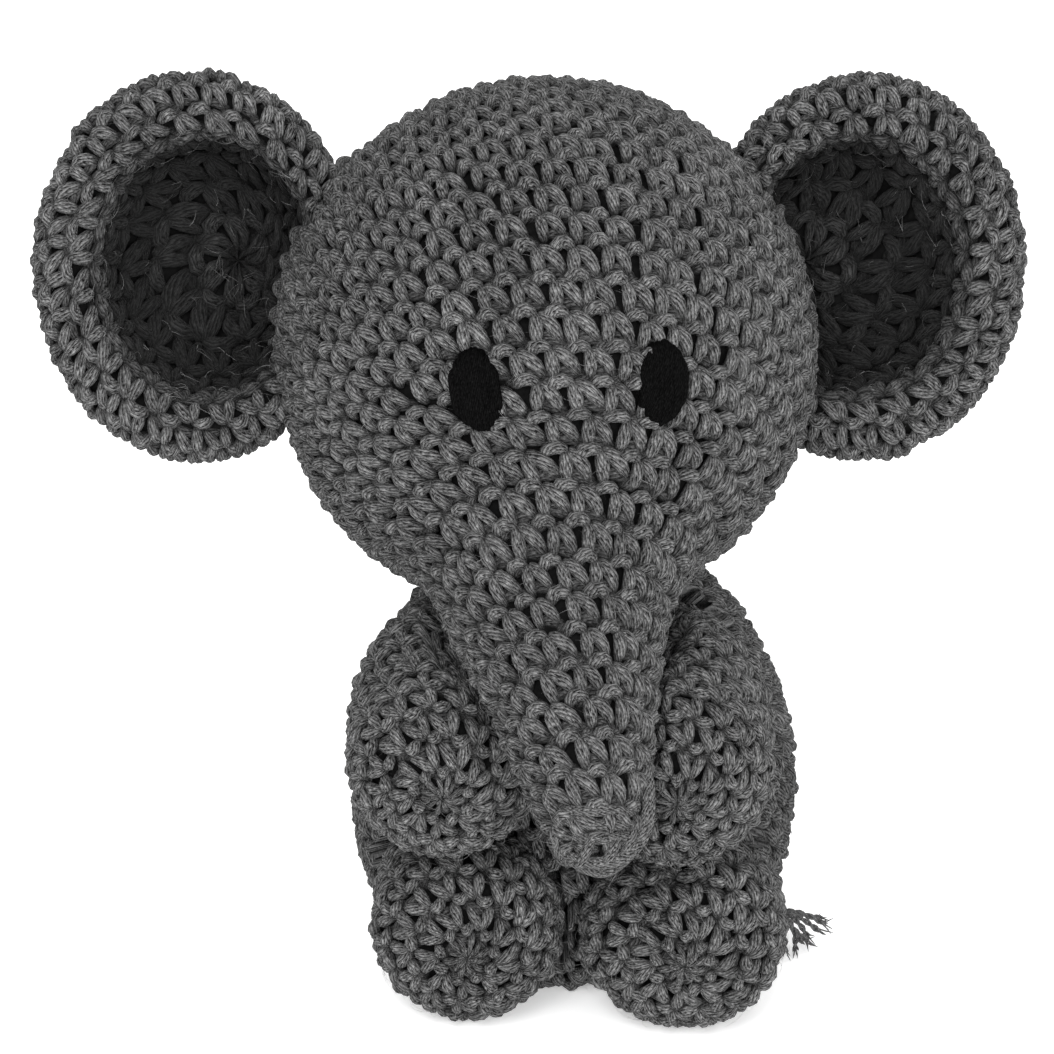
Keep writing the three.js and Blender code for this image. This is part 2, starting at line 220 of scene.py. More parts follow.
def plainMaterial(name, dark, light, rough, grain):
    material = bpy.data.materials.new(name)
    material.use_nodes = True
    tree = material.node_tree
    tree.nodes.clear()
    start = Look(tree)
    solid = start.node("ShaderNodeTexCoord", output=3)
    cloud = start.node("ShaderNodeTexNoise", {}, {"Vector": solid, "Scale": grain, "Detail": 4.0})
    colour = start.node(
        "ShaderNodeMix", {"data_type": "RGBA"}, {0: cloud, 6: (*dark, 1), 7: (*light, 1)},
        output=2,
    )
    bump = start.node(
        "ShaderNodeBump", inputs={"Strength": 0.6, "Distance": 0.0006, "Height": cloud}
    )
    shader = start.node(
        "ShaderNodeBsdfPrincipled",
        inputs={
            "Base Color": colour, "Roughness": rough, "Normal": bump, "Specular IOR Level": 0.05
        },
    )
    start.node("ShaderNodeOutputMaterial", inputs={"Surface": shader})
    return material


greyYarn = yarnMaterial("grey yarn", (0.004,) * 3, (0.196,) * 3, 0.035)
blackYarn = yarnMaterial("black yarn", (0.0003,) * 3, (0.006,) * 3, 0.0, 0.9, 0.03)
# near-black sheet behind the stitches: painted shadow in the gaps between them
shadowYarn = plainMaterial("painted shadow behind the stitches", (0.001,) * 3, (0.008,) * 3, 0.95, 900.0)


# Frames: each takes points in millimetres on a piece's own axes to the whole toy's

def turnX(degrees):
    c, s = math.cos(math.radians(degrees)), math.sin(math.radians(degrees))
    return np.array([[1, 0, 0], [0, c, -s], [0, s, c]])


def turnY(degrees):
    c, s = math.cos(math.radians(degrees)), math.sin(math.radians(degrees))
    return np.array([[c, 0, s], [0, 1, 0], [-s, 0, c]])


def turnZ(degrees):
    c, s = math.cos(math.radians(degrees)), math.sin(math.radians(degrees))
    return np.array([[c, -s, 0], [s, c, 0], [0, 0, 1]])


def smooth(value, low, high):
    share = np.clip((value - low) / (high - low), 0, 1)
    return share * share * (3 - 2 * share)


head = {
    "radius": 45.6,
    "centre": np.array([-4.0, -5.0, 108.1722]),
    "turn": turnZ(5) @ turnY(1.5),
    "muzzle": turnX(130),
    "faceEdge": 30.0,  # radius where the ball runs over into the trunk
    "nod": 14,
    "nodHeight": 63.9722,  # of the pivot at the neck
}
trunk = {
    "root": 52.0,
    "outline": [(38, 25.8), (45, 21), (52, 18.4), (60, 16), (70, 13.2), (80, 10.9), (90, 8.4)],
    "length": 96.0,
    "lean": 6.0,
    "tipFlat": 0.72,
    "tipFrom": 76.0,
}
body = {
    "radius": 38.0,
    "height": 67.9722,
    "widest": 27.0,
    "seat": 25.0,
    "neck": 19.0,
    "bulge": (1.6, 8, 38),  # how far the right side swells, and between which two places
    "core": (4, 20, 40),  # pressed stitches move towards this line: its y, and its two heights
}
limbs = {  # wide is the oval's width, and size is one of the two below
    "arm_left": {"at": (-20.5, -14.0, 54.4722), "side": -1, "wide": 1.0, "size": "arm"},
    "arm_right": {"at": (17.5, -17.0, 54.4722), "side": 1, "wide": 1.0, "size": "arm"},
    "leg_left": {"at": (-16.7, -20.0, 16.4), "side": -1, "wide": 1.0, "size": "leg"},
    "leg_right": {"at": (19.3, -23.0, 16.4), "side": 1, "wide": 1.07, "size": "leg"},
}
limbSizes = {  # fall and splay in degrees; seat is the extra room pressed into the body at the root
    "arm": {"radius": 16.2, "root": 12.2, "length": 30.0, "swell": 12.0, "cap": 0.86, "droop": 3.5,
            "fall": 3, "splay": 35, "seat": 1.8},
    "leg": {"radius": 16.4, "root": 14.5, "length": 16.0, "swell": 8.0, "cap": 0.86, "droop": 0.0,
            "fall": 0, "splay": 20, "seat": 0},
}
paintedLimbLight = 1.16  # painted light: the limbs' yarn is made a little lighter than the head's, standing in for more light on the limbs


def headToToy(points):  # the head's own axes
    return points @ head["turn"].T + head["centre"]


def muzzleToToy(points):  # +Z out along the trunk
    points = points.copy()
    tip = smooth(points[:, 2], trunk["tipFrom"], trunk["length"])
    points[:, 1] *= 1 - tip * (1 - trunk["tipFlat"])
    bend = math.radians(trunk["lean"])
    past = points[:, 2] - trunk["root"]
    share = smooth(past, -8, 8)
    angle = bend * share
    x, z = points[:, 0].copy(), past.copy()
    points[:, 0] = x * np.cos(angle) + z * np.sin(angle)
    points[:, 2] = -x * np.sin(angle) + z * np.cos(angle) + trunk["root"]
    return headToToy(points @ head["muzzle"].T)


def limbToToy(name):
    limb = limbs[name]
    size = limbSizes[limb["size"]]
    turn = turnX(90 + size["fall"])

    def there(points):
        points = points.copy()
        share = np.clip(points[:, 2] / size["length"], 0, 1)
        points[:, 1] -= size["droop"] * share * (2 - share)
        return points @ turn.T + np.array(limb["at"])

    return there


# Outlines as (radius, height), from one pole to the other

def arc(centre, radius, rise, start, end, steps):
    turn = np.radians(np.linspace(start, end, steps))
    return [(radius * math.cos(t), centre + rise * math.sin(t)) for t in turn]


def spline(points, steps):  # a smooth curve through the points
    points = np.array(points, float)
    ends = np.vstack([2 * points[0] - points[1], points, 2 * points[-1] - points[-2]])
    out = []
    for n in range(len(points) - 1):
        a, b, c, d = ends[n : n + 4]
        for t in np.linspace(0, 1, steps, endpoint=False):
            out.append(
                tuple(
                    0.5 * (2 * b + (c - a) * t + (2 * a - 5 * b + 4 * c - d) * t**2
                           + (3 * b - a - 3 * c + d) * t**3)
                )
            )
    out.append(tuple(points[-1]))
    return out


headSteps = 60


def headOutline():
    faceAngle = math.degrees(math.asin(head["faceEdge"] / head["radius"]))
    ball = arc(0, head["radius"], head["radius"], -90, faceAngle, headSteps)
    taper = spline([(ball[-1][0], ball[-1][1])] + [(r, z) for z, r in trunk["outline"]], 8)
    endAt, endRadius = trunk["outline"][-1]
    tip = arc(endAt, endRadius, trunk["length"] - endAt, 10, 90, 8)
    return ball + taper[1:] + tip


def bodyOutline():
    low = [
        (r + body["seat"], z)
        for r, z in arc(body["widest"], body["radius"] - body["seat"], body["widest"], -90, 0, 16)
    ]
    share = math.sqrt(1 - (body["neck"] / body["radius"]) ** 2)
    high = []
    for n in range(1, 25):
        up = math.sin(math.asin(share) * n / 24)
        high.append(
            (body["radius"] * math.sqrt(1 - up**2),
             body["widest"] + (body["height"] - body["widest"]) * up / share)
        )
    return [(0, 0)] + low + high + [(8, body["height"] + 1.5), (0, body["height"] + 1.8)]


def limbOutline(size):
    start = arc(0, size["root"], size["root"], -90, 0, 16)
    middle = spline(
        [start[-1], ((size["root"] + size["radius"]) / 2 + 0.8, size["swell"] / 2),
         (size["radius"], size["swell"]), (size["radius"], size["length"])], 8,
    )
    end = arc(size["length"], size["radius"], size["radius"] * size["cap"], 0, 90, 20)
    return start + middle[1:-1] + end


class Skin:  # a turned surface: points by length down the outline, angle and height over it
    def __init__(self, outline, toToy, fromFarEnd=False, oval=(1.0, 1.0), slide=None):
        points = np.array(outline, float)
        gaps = np.hypot(*np.diff(points, axis=0).T)
        keep = np.concatenate([[True], gaps > 1e-4])
        points = points[keep]
        gaps = np.hypot(*np.diff(points, axis=0).T)
        at = np.concatenate([[0], np.cumsum(gaps)])
        self.length = at[-1]
        self.steps = np.linspace(0, self.length, 500)
        self.r = np.interp(self.steps, at, points[:, 0])
        self.z = np.interp(self.steps, at, points[:, 1])
        runR, runZ = np.gradient(self.r), np.gradient(self.z)
        soften = np.hanning(17) / np.hanning(17).sum()
        runR = np.convolve(np.pad(runR, 8, "edge"), soften, "valid")
        runZ = np.convolve(np.pad(runZ, 8, "edge"), soften, "valid")
        size = np.hypot(runR, runZ)
        self.normR, self.normZ = runZ / size, -runR / size
        self.toToy, self.fromFarEnd, self.oval, self.slide = toToy, fromFarEnd, oval, slide
        self.way = 1 if fromFarEnd else -1

    def at(self, along, angle, height):
        shape = np.broadcast_shapes(np.shape(along), np.shape(angle), np.shape(height))
        along, angle, height = (
            np.broadcast_to(v, shape).ravel().astype(float) for v in (along, angle, height)
        )
        behind = along < 0
        angle = np.where(behind, angle + math.pi, angle)
        along = np.clip(np.abs(along), 0, self.length)
        if self.fromFarEnd:
            along = self.length - along
        r, z, nr, nz = (
            np.interp(along, self.steps, row) for row in (self.r, self.z, self.normR, self.normZ)
        )
        reach = np.maximum(r + height * nr, 0.02)
        points = np.stack(
            [reach * np.cos(angle) * self.oval[0], reach * np.sin(angle) * self.oval[1],
             z + height * nz],
            axis=1,
        )
        if self.slide:
            points[:, 0] += self.slide(along / self.length)
        return self.toToy(points).reshape(shape + (3,))

    def radiusAt(self, along):
        along = self.length - along if self.fromFarEnd else along
        return np.interp(along, self.steps, self.r) * (self.oval[0] + self.oval[1]) / 2


# One stitch, modelled once: two leaning legs, the loop over them and two strands behind

stitch = {
    "pitch": 5.9,
    "rowPitch": 5.8,
    "lean": 0.2,  # how far each row starts past the one before
    "backing": -2.3,
    "middle": (0.15, 0.3),  # a stitch turns and swells about this point
    "root": (0.4, -3.0),  # where hairs start: share of a row, and a height to point away from
    "facets": (8, 7),
    "shake": {"place": 0.035, "lift": 0.16, "turn": 0.07, "swell": 0.05, "shade": 0.08},
    "depth": (0.03, -2.25, -0.15),  # painted shade in the creases: the deeper part of each strand is darker; darkest share, and the heights it fades between
    "strands": [  # start, middle, end as (across, down the row, height), half width, half height
        ((-0.02, -0.16, -1.9), (0.0, 0.36, -0.95), (0.04, 0.88, -2.3), 0.20, 1.1),
        ((0.02, -0.14, -1.9), (0.40, 0.22, -0.95), (0.72, 0.78, -2.3), 0.205, 1.1),
        ((-0.66, 0.16, -2.3), (-0.34, -0.20, -0.75), (0.0, 0.04, -1.9), 0.215, 1.2),
        ((-0.1, 0.56, -2.6), (0.42, 0.58, -2.1), (1.0, 0.84, -2.6), 0.23, 0.9),
        ((0.52, 0.98, -2.8), (0.82, 0.88, -2.0), (1.12, 0.78, -2.8), 0.19, 0.9),
    ],
}


def bendStrand(points, start, middle, end, wide, high):
    start, middle, end = (np.array(v, float) for v in (start, middle, end))
    control = 2 * middle - (start + end) / 2
    share = (points[:, 2:3] + 1) / 2
    centre = (1 - share) ** 2 * start + 2 * share * (1 - share) * control + share**2 * end
    run = 2 * (1 - share) * (control - start) + 2 * share * (end - control)
    side = np.stack([-run[:, 1], run[:, 0]], axis=1)
    side /= np.linalg.norm(side, axis=1, keepdims=True)
    full = np.clip(1 - points[:, 2:3] ** 2, 0.02, 1) ** -0.12
    bent = centre.copy()
    bent[:, :2] += side * points[:, 0:1] * wide * full
    bent[:, 2:3] += points[:, 1:2] * high * full
    return bent


def takeMesh(thing):
    mesh = thing.data
    co = np.zeros(len(mesh.vertices) * 3, np.float32)
    mesh.vertices.foreach_get("co", co)
    loops = np.zeros(len(mesh.loops), np.int32)
    mesh.loops.foreach_get("vertex_index", loops)
    sizes = np.zeros(len(mesh.polygons), np.int32)
    mesh.polygons.foreach_get("loop_total", sizes)
    uv = np.zeros(len(mesh.loops) * 2, np.float32)
    mesh.uv_layers.active.data.foreach_get("uv", uv)
    bpy.data.objects.remove(thing, do_unlink=True)
    return co.reshape(-1, 3).astype(float), loops, sizes, uv.reshape(-1, 2)


def newBall(segments, rings):
    bpy.ops.object.select_all(action="DESELECT")
    bpy.ops.mesh.primitive_uv_sphere_add(segments=segments, ring_count=rings, radius=1)
    return bpy.context.object


def stitchParts():
    ball, loops, sizes, uv = takeMesh(newBall(*stitch["facets"]))
    parts = []
    for n, (start, middle, end, wide, high) in enumerate(stitch["strands"]):
        bent = bendStrand(ball, start, middle, end, wide, high)
        parts.append((bent, loops, sizes, uv + [0.37 * n, 3.0 * n]))
    return parts


def joinParts(parts):  # one set of arrays from several
    base, allLoops = 0, []
    for points, loops, _, _ in parts:
        allLoops.append(loops + base)
        base += len(points)
    return (
        np.concatenate([p[0] for p in parts]),
        np.concatenate(allLoops),
        np.concatenate([p[2] for p in parts]),
        np.concatenate([p[3] for p in parts]),
    )


stitchPoints, stitchLoops, stitchSizes, stitchUv = joinParts(stitchParts())


class Pile:  # gathers points, faces, places in the material and shades for one mesh
    def __init__(self):
        self.points, self.loops, self.sizes = [], [], []
        self.uv, self.shade, self.slots = [], [], []
        self.count = 0

    def add(self, points, loops, sizes, uv, shade, slot=0):
        self.points.append(points)
        self.loops.append(loops + self.count)
        self.sizes.append(sizes)
        self.uv.append(uv)
        self.shade.append(np.broadcast_to(shade, (len(points),)))
        self.slots.append(np.full(len(sizes), slot, np.int32))
        self.count += len(points)

    def copies(self, points, loops, sizes, uv, shade):
        many, each = points.shape[:2]  # the faces repeat for each copy
        base = (np.arange(many) * each)[:, None]
        uvShift = rng.uniform(0, 1, (many, 1, 2)) * [1, 5]
        self.add(
            points.reshape(-1, 3),
            (loops[None, :] + base).ravel(),
            np.tile(sizes, many),
            (uv[None] + uvShift).reshape(-1, 2),
            shade.ravel(),
        )

    def make(self, name, materials):
        points = np.concatenate(self.points) * mm
        points[:, 2] = np.maximum(points[:, 2], floorGap)  # flat on the floor
        loops, sizes = np.concatenate(self.loops), np.concatenate(self.sizes)
        starts = np.concatenate([[0], np.cumsum(sizes)[:-1]])
        mesh = bpy.data.meshes.new(name)
        mesh.vertices.add(len(points))
        mesh.vertices.foreach_set("co", points.astype(np.float32).ravel())
        mesh.loops.add(len(loops))
        mesh.loops.foreach_set("vertex_index", loops.astype(np.int32))
        mesh.polygons.add(len(sizes))
        mesh.polygons.foreach_set("loop_start", starts.astype(np.int32))
        mesh.polygons.foreach_set("loop_total", sizes.astype(np.int32))
        mesh.polygons.foreach_set("material_index", np.concatenate(self.slots))
        mesh.polygons.foreach_set("use_smooth", np.ones(len(sizes), bool))
        layer = mesh.uv_layers.new(name="strand")
        layer.data.foreach_set("uv", np.concatenate(self.uv).astype(np.float32).ravel())
        shade = mesh.attributes.new("shade", "FLOAT", "POINT")
        shade.data.foreach_set("value", np.concatenate(self.shade).astype(np.float32))
        mesh.update(calc_edges=True)
        mesh.validate()
        thing = bpy.data.objects.new(name, mesh)
        bpy.context.scene.collection.objects.link(thing)
        for material in materials:
            mesh.materials.append(material)
        print(name, len(mesh.vertices), "points", len(mesh.polygons), "faces")
        return thing


backing = {"rows": 12, "rowPitch": 2.6, "facets": 56, "shade": 0.5}


def addBacking(pile, skin, press, height):  # a plain closed near-black skin behind the stitches: painted shadow seen through the gaps between them
    rows = max(backing["rows"], int(skin.length / backing["rowPitch"]))
    facets = backing["facets"]
    along = np.linspace(0, skin.length, rows + 1)[1:-1]
    angle = np.linspace(0, 2 * math.pi, facets, endpoint=False) * skin.way
    ring = skin.at(along[:, None], angle[None, :], height)
    poles = np.stack([skin.at(0.0, 0.0, height), skin.at(skin.length, 0.0, height)])
    points = np.concatenate([ring.reshape(-1, 3), poles.reshape(-1, 3)])
    loops, sizes = [], []
    for n in range(len(along) - 1):
        for k in range(facets):
            j = (k + 1) % facets
            loops += [n * facets + k, n * facets + j, (n + 1) * facets + j, (n + 1) * facets + k]
            sizes.append(4)
    first, last = len(points) - 2, len(points) - 1
    end = (len(along) - 1) * facets
    for k in range(facets):
        j = (k + 1) % facets
        loops += [first, j, k, last, end + k, end + j]
        sizes += [3, 3]
    loops = np.array(loops)
    middle = (len(along) // 2) * facets * 4
    a, b, c = (points[loops[middle + n]] for n in (0, 1, 2))
    opposite = skin.at(along[len(along) // 2], angle + math.pi, height)[0]
    if np.dot(np.cross(b - a, c - a), a - opposite) < 0:  # faces are turned to look outwards
        flipped, at = [], 0
        for size in sizes:
            flipped.append(loops[at : at + size][::-1])
            at += size
        loops = np.concatenate(flipped)
    points = press(points, stitch["backing"]) if press else points
    uv = np.zeros((len(loops), 2))
    pile.add(points, loops, np.array(sizes), uv, backing["shade"], 1)


fibre = {
    "perStitch": 2.0,
    "length": (1.2, 4.2),
    "radius": 0.035,
    "rise": (0.1, 0.9),
    "curl": 0.9,
    "rings": 7,
    "sides": 3,
    "shade": 1.7,
}


def addFibres(pile, roots, outward, count):  # thin curved hairs
    pick = rng.integers(0, len(roots), count)
    start = roots[pick]
    out = outward[pick]
    aim = rng.normal(size=(count, 3))
    flat = aim - (aim * out).sum(axis=1, keepdims=True) * out
    flat /= np.linalg.norm(flat, axis=1, keepdims=True)
    other = np.cross(out, flat)
    length = rng.uniform(*fibre["length"], (count, 1))
    rise = rng.uniform(*fibre["rise"], (count, 1))
    curl = rng.uniform(-fibre["curl"], fibre["curl"], (count, 1))
    rings, sides = fibre["rings"], fibre["sides"]
    corners = []
    for n in range(rings):
        t = n / (rings - 1)
        arch = out * (rise * 4 * t * (1 - t * 0.8))
        spine = start + flat * length * (t - 0.1) + other * length * curl * t * t + arch
        thick = fibre["radius"] * (1 - 0.6 * t)
        for k in range(sides):
            turn = 2 * math.pi * k / sides
            corners.append(spine + thick * (math.cos(turn) * out + math.sin(turn) * other))
    points = np.stack(corners, axis=1)
    loops, sizes = [], []
    for n in range(rings - 1):
        for k in range(sides):
            j = (k + 1) % sides
            loops += [n * sides + k, n * sides + j, (n + 1) * sides + j, (n + 1) * sides + k]
            sizes.append(4)
    last = (rings - 1) * sides
    loops += [2, 1, 0, last, last + 1, last + 2]
    sizes += [3, 3]
    uv = np.zeros((len(loops), 2))
    shade = np.full((count, rings * sides), fibre["shade"])
    pile.copies(points, np.array(loops), np.array(sizes), uv, shade)


def rowsOf(skin, pitch, rowPitch):
    rows = max(3, round(skin.length / rowPitch))
    step = skin.length / rows
    counts = []
    for n in range(rows):
        around = 2 * math.pi * skin.radiusAt((n + 0.55) * step)
        counts.append(max(6, round(around / pitch)))
    return step, counts


def crochet(name, skin, press=None, keep=None, size=1.0, fuzz=1.0, paintedShading=None):
    pile = Pile()
    step, counts = rowsOf(skin, stitch["pitch"] * size, stitch["rowPitch"] * size)
    shake = stitch["shake"]
    darkest, deep, high = stitch["depth"]
    tu, tv, tw = (stitchPoints[None, :, n] for n in range(3))
    paintedCreaseShade = darkest + (1 - darkest) * smooth(tw, deep, high)
    cu, cv = stitch["middle"]
    rootShare, rootDepth = stitch["root"]
    offset = 0.0
    allPoints, allShade, roots = [], [], []
    for row, count in enumerate(counts):
        offset += stitch["lean"] / count + 0.003
        u = np.arange(count)[:, None] + rng.normal(0, shake["place"], (count, 1))
        v = row + rng.normal(0, shake["place"], (count, 1))
        lift = rng.normal(0, shake["lift"], (count, 1))
        lean = rng.normal(0, shake["turn"], (count, 1))
        swell = rng.normal(1.0, shake["swell"], (count, 1))
        wu = cu + ((tu - cu) * np.cos(lean) - (tv - cv) * np.sin(lean)) * swell
        wv = cv + ((tu - cu) * np.sin(lean) + (tv - cv) * np.cos(lean)) * swell
        angle = ((u + wu) / count + offset) * 2 * math.pi * skin.way
        points = skin.at((v + wv) * step, angle, tw * size + lift)
        rootAngle = (u / count + offset) * 2 * math.pi * skin.way
        centre = skin.at((v + rootShare) * step, rootAngle, 0.0)[:, 0]
        below = skin.at((v + rootShare) * step, rootAngle, rootDepth)[:, 0]
        if keep is not None:
            good = keep(centre)
            points, centre, below = points[good], centre[good], below[good]
        if not len(points):
            continue
        # random tone for each stitch, times the painted crease shade
        tone = rng.normal(1.0, shake["shade"], (len(points), 1)) * paintedCreaseShade
        # painted light or painted shade, row by row
        if paintedShading is not None:
            tone = tone * paintedShading(row / len(counts))
        allPoints.append(points)
        allShade.append(np.broadcast_to(tone, points.shape[:2]))
        roots.append(np.concatenate([centre, centre - below], axis=1))
    points, shade = np.concatenate(allPoints), np.concatenate(allShade)
    roots = np.concatenate(roots)
    if press:
        flatPoints = points.reshape(-1, 3)
        depth = np.tile(stitchPoints[:, 2], len(points))
        points = press(flatPoints, depth).reshape(points.shape)
        shift = press(roots[:, :3], np.zeros(len(roots)))
        roots = np.concatenate([shift, roots[:, 3:]], axis=1)
    pile.copies(points, stitchLoops, stitchSizes, stitchUv, shade)
    addBacking(pile, skin, press, stitch["backing"] * size)
    outward = roots[:, 3:] / np.linalg.norm(roots[:, 3:], axis=1, keepdims=True)
    hairs = int(len(roots) * fibre["perStitch"] * fuzz)
    addFibres(pile, roots[:, :3] - outward * 0.4, outward, hairs)
    print(name, len(points), "stitches in", len(counts), "rows")
    return pile


# Loose strands: a smooth run through points, as a tube of several sides

def smoothPath(points, step=0.7):
    curve = np.array(spline(points, 12))
    gaps = np.linalg.norm(np.diff(curve, axis=0), axis=1)
    at = np.concatenate([[0], np.cumsum(gaps)])
    even = np.linspace(0, at[-1], max(4, int(at[-1] / step) + 1))
    return np.stack([np.interp(even, at, curve[:, n]) for n in range(3)], axis=1), at[-1]


def crossings(path):  # two directions square to the run, carried along it without turning
    run = np.gradient(path, axis=0)
    run /= np.linalg.norm(run, axis=1, keepdims=True)
    side = np.cross(run[0], [0.31, 0.17, 0.93])
    sides = []
    for tangent in run:
        side = side - (side @ tangent) * tangent
        side /= np.linalg.norm(side)
        sides.append(side)
    sides = np.array(sides)
    return sides, np.cross(run, sides)


strandRepeat = 5.0  # length of one repeat of the material along a strand


def addStrand(pile, points, radius, facets=8, taper=0.35, shade=1.0, ready=False):
    if ready:  # the points are already close together
        path = np.array(points, float)
        length = np.linalg.norm(np.diff(path, axis=0), axis=1).sum()
    else:
        path, length = smoothPath(points)
    one, two = crossings(path)
    rings = len(path)
    share = np.linspace(0, 1, rings)
    thick = radius * (1 - taper * np.abs(2 * share - 1) ** 4)
    turn = np.linspace(0, 2 * math.pi, facets, endpoint=False)
    outwards = (
        np.cos(turn)[None, :, None] * one[:, None] + np.sin(turn)[None, :, None] * two[:, None]
    )
    ring = path[:, None] + thick[:, None, None] * outwards
    ends = np.stack([path[0] - (path[1] - path[0]) * 0.8, path[-1] + (path[-1] - path[-2]) * 0.8])
    mesh = np.concatenate([ring.reshape(-1, 3), ends])
    loops, sizes, uv = [], [], []
    v = share * length / strandRepeat
    for n in range(rings - 1):
        for k in range(facets):
            j = (k + 1) % facets
            loops += [n * facets + k, n * facets + j, (n + 1) * facets + j, (n + 1) * facets + k]
            low, high = k / facets, (k + 1) / facets
            uv += [(low, v[n]), (high, v[n]), (high, v[n + 1]), (low, v[n + 1])]
            sizes.append(4)
    first, last, end = rings * facets, rings * facets + 1, (rings - 1) * facets
    for k in range(facets):
        j = (k + 1) % facets
        loops += [first, j, k, last, end + k, end + j]
        uv += [(k / facets, 0), ((k + 1) / facets, 0), (k / facets, 0)]
        uv += [(k / facets, v[-1]), (k / facets, v[-1]), ((k + 1) / facets, v[-1])]
        sizes += [3, 3]
    pile.add(mesh, np.array(loops), np.array(sizes), np.array(uv) + rng.uniform(0, 5, 2), shade)
    return length


def addTwist(pile, points, radius, plies, turnLength, shade=1.0, facets=8, fray=0.0):
    # strands laid round each other
    path, length = smoothPath(points, 0.6)
    one, two = crossings(path)
    share = np.linspace(0, 1, len(path))
    offset = radius * {2: 0.5, 3: 0.536}[plies]
    thick = radius - offset
    for n in range(plies):
        turn = 2 * math.pi * (n / plies + share * length / turnLength)
        wide = offset * (1 + fray * smooth(share, 0.6, 1.0))
        ply = path + wide[:, None] * (np.cos(turn)[:, None] * one + np.sin(turn)[:, None] * two)
        addStrand(pile, ply, thick, facets, 0.15, shade, ready=True)
    return length


# Tail: a twisted cord with a knot and a frayed tassel

tail = {
    "thick": 4.4,
    "turnLength": 11.0,
    "route": [(0, 36, 10), (1, 40.5, 8.6), (5, 43, 5), (11, 42.5, 2.8), (20, 37.5, 2.4),
              (28.5, 29, 2.4), (34, 19, 2.4), (35.5, 8, 2.4), (35, -2, 2.4)],
    "exit": (0, 0.036, 0.010),
    "knot": (35.1, -5.4, 3.05),
    "knotSize": 0.66,
    "knotThick": 1.15,
    "strands": 10,
    "strandThick": 0.56,
    "strandTurn": 3.6,
    "strandLength": (6.6, 8.8),
    "strandShade": 1.9,
    "heading": 44.0,  # degrees outwards from straight ahead
    "spread": 42.0,
    "fall": (1.0, 3.2),  # least drop of an end, and how much more those at the front have
    "fray": 0.3,
    "hairs": 6,
    "hairThick": 0.14,
    "lowest": {"strand": 0.7, "hair": 0.2},
}


def raised(points, lowest):  # no point lies lower than this
    return [np.array([p[0], p[1], max(p[2], lowest)]) for p in points]


def makeTail():
    pile = Pile()
    length = addTwist(pile, tail["route"], tail["thick"] / 2, 3, tail["turnLength"])
    cord = pile.make("tail_yarn", [greyYarn, shadowYarn])
    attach(cord, "body")
    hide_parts("tail_cord")
    print("tail", round(length, 1), "mm long")
    knot = Pile()
    turn = np.linspace(0, 2 * math.pi, 60)
    coil = np.stack(
        [np.sin(turn) + 2 * np.sin(2 * turn), np.cos(turn) - 2 * np.cos(2 * turn),
         -1.5 * np.sin(3 * turn)],
        axis=1,
    )
    coil = coil * tail["knotSize"] + np.array(tail["knot"])
    addStrand(knot, coil, tail["knotThick"], 8, 0.0, ready=True)
    tied = knot.make("tail_knot_yarn", [greyYarn, shadowYarn])
    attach(tied, "body")
    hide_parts("tail_knot")
    tassel = Pile()
    for n in range(tail["strands"]):
        share = n / (tail["strands"] - 1) * 2 - 1
        heading = math.radians(tail["heading"] + share * tail["spread"] + rng.normal(0, 3))
        out = np.array([math.sin(heading), -math.cos(heading), 0])
        long = rng.uniform(*tail["strandLength"])
        least, more = tail["fall"]
        fall = least + more * (1 - share) / 2 + rng.normal(0, 0.3)
        start = np.array(tail["knot"]) + out * 1.2 + [0, 0, 1.6]
        bow = np.array([out[1], -out[0], 0]) * rng.normal(0, 0.5)
        run = [
            start,
            start + out * long * 0.35 + bow + [0, 0, 0.5 - 0.1 * fall],
            start + out * long * 0.7 + bow + [0, 0, 0.3 - 0.5 * fall],
            start + out * long + [0, 0, -fall],
        ]
        run = raised(run, tail["lowest"]["strand"])
        addTwist(tassel, run, tail["strandThick"], 2, tail["strandTurn"], facets=6,
                 fray=tail["fray"], shade=tail["strandShade"])
        tip, back = run[-1], (run[-1] - run[-2]) / np.linalg.norm(run[-1] - run[-2])
        for _ in range(tail["hairs"]):  # loose hairs where the end frays
            side = rng.normal(0, 0.3, 3)
            end = tip + back * rng.uniform(0.5, 1.1) + side * 1.8
            hair = [tip - back * 1.2, tip + back * 0.3 + side, end]
            hair = raised(hair, tail["lowest"]["hair"])
            addStrand(tassel, hair, tail["hairThick"], 4, 0.4, 2.0)
    ends = tassel.make("tail_tassel_yarn", [greyYarn, shadowYarn])
    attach(ends, "body")
    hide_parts("tail_tassel")
    path = [tuple(np.array(p) * mm) for p in smoothPath(tail["route"], 2.4)[0]]


makeTail()


# Soft contact: points inside a ball are pushed out of it, towards a piece's own middle

def pushedOut(points, depth, balls, middle):
    points = points.copy()
    towards = middle(points) - points
    reach = np.linalg.norm(towards, axis=1, keepdims=True)
    towards = towards / np.maximum(reach, 1e-6)
    for _ in range(2):
        for centre, radius in balls:
            away = points - centre
            b = (away * towards).sum(axis=1)
            c = (away * away).sum(axis=1) - (radius - np.minimum(depth, 0)) ** 2
            inside = c < 0
            out = -b + np.sqrt(np.maximum(b * b - c, 0))
            points = np.where(inside[:, None], points + towards * out[:, None], points)
    return points


def muzzleBalls(margin):  # the head, then balls along the trunk
    outline = np.array(headOutline())[headSteps:]
    balls = [(head["centre"], head["radius"] + margin)]
    for z in np.arange(35, trunk["length"] - 2, 5.0):
        r = np.interp(z, outline[:, 1], outline[:, 0])
        centre = muzzleToToy(np.array([[0.0, 0.0, z]]))[0]
        balls.append((centre, r + margin))
    return balls


